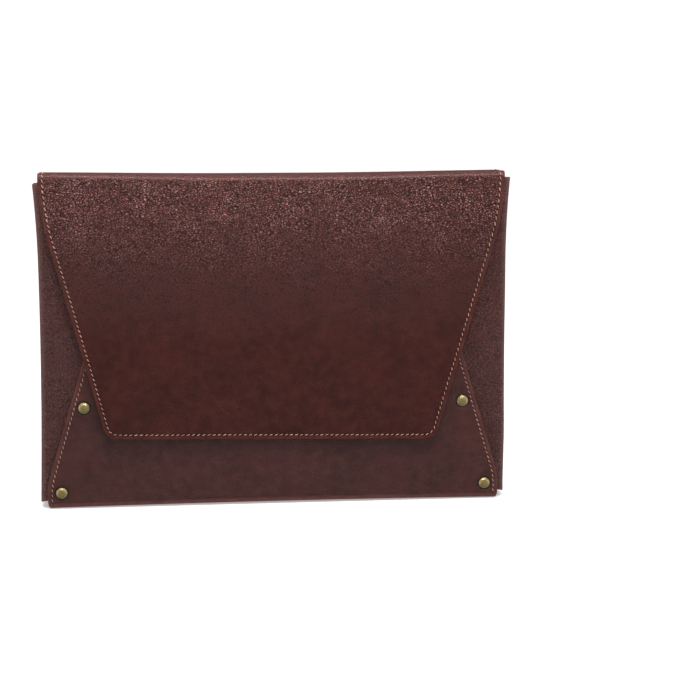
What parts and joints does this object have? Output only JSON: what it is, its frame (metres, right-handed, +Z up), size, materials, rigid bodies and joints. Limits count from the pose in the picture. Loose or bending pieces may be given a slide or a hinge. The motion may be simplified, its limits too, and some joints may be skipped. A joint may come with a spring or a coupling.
{
  "type": "laptop sleeve",
  "caption": "Lined leather laptop sleeve with an envelope flap over the top, folded side wings, and a front panel riveted to them; the flap lifts and folds back to open the pocket.",
  "frame": {"origin": "middle of the base, on the surface the sleeve stands on", "axes": "+X along the width to the viewer's right, -Y the front with the flap, +Z up"},
  "size_m": [0.3566, 0.0294, 0.2529],
  "materials": {
    "leather": "semi-gloss pebble-grain leather, dark reddish brown",
    "lining": "matt brushed microfibre, brown",
    "brass": "antique brass, satin",
    "magnet": "bright plated",
    "thread": "waxed thread, pale pinkish tan"
  },
  "bodies": {
    "body": {"back_leather": "leather", "base_leather": "leather", "front_leather": "leather", "left_side_leather": "leather", "right_side_leather": "leather", "left_wing_leather": "leather", "right_wing_leather": "leather", "back_lining": "lining", "base_lining": "lining", "front_lining": "lining", "left_side_lining": "lining", "right_side_lining": "lining", "left_wing_lining": "lining", "right_wing_lining": "lining", "rivet_cap_left_upper": "brass", "rivet_cap_left_lower": "brass", "rivet_cap_right_upper": "brass", "rivet_cap_right_lower": "brass", "rivet_post_left_upper": "brass", "rivet_post_left_lower": "brass", "rivet_post_right_upper": "brass", "rivet_post_right_lower": "brass", "front_magnet_left": "magnet", "front_magnet_right": "magnet", "front_stitching": "thread", "left_wing_stitching": "thread", "right_wing_stitching": "thread"},
    "spine": {"spine_leather": "leather", "spine_lining": "lining", "left_spine_stitching": "thread", "right_spine_stitching": "thread"},
    "flap": {"flap_leather": "leather", "flap_lining": "lining", "flap_stitching": "thread", "flap_magnet_left": "magnet", "flap_magnet_right": "magnet"}
  },
  "joints": [
    {"name": "spine_fold", "type": "hinge", "parent": "body", "child": "spine", "pos_m": [0, 0.01265, 0.24995], "axis": [-1, 0, 0], "range_deg": [0, 175]},
    {"name": "flap_fold", "type": "hinge", "parent": "spine", "child": "flap", "pos_m": [0, -0.01175, 0.24995], "axis": [-1, 0, 0], "range_deg": [0, 100]}
  ]
}
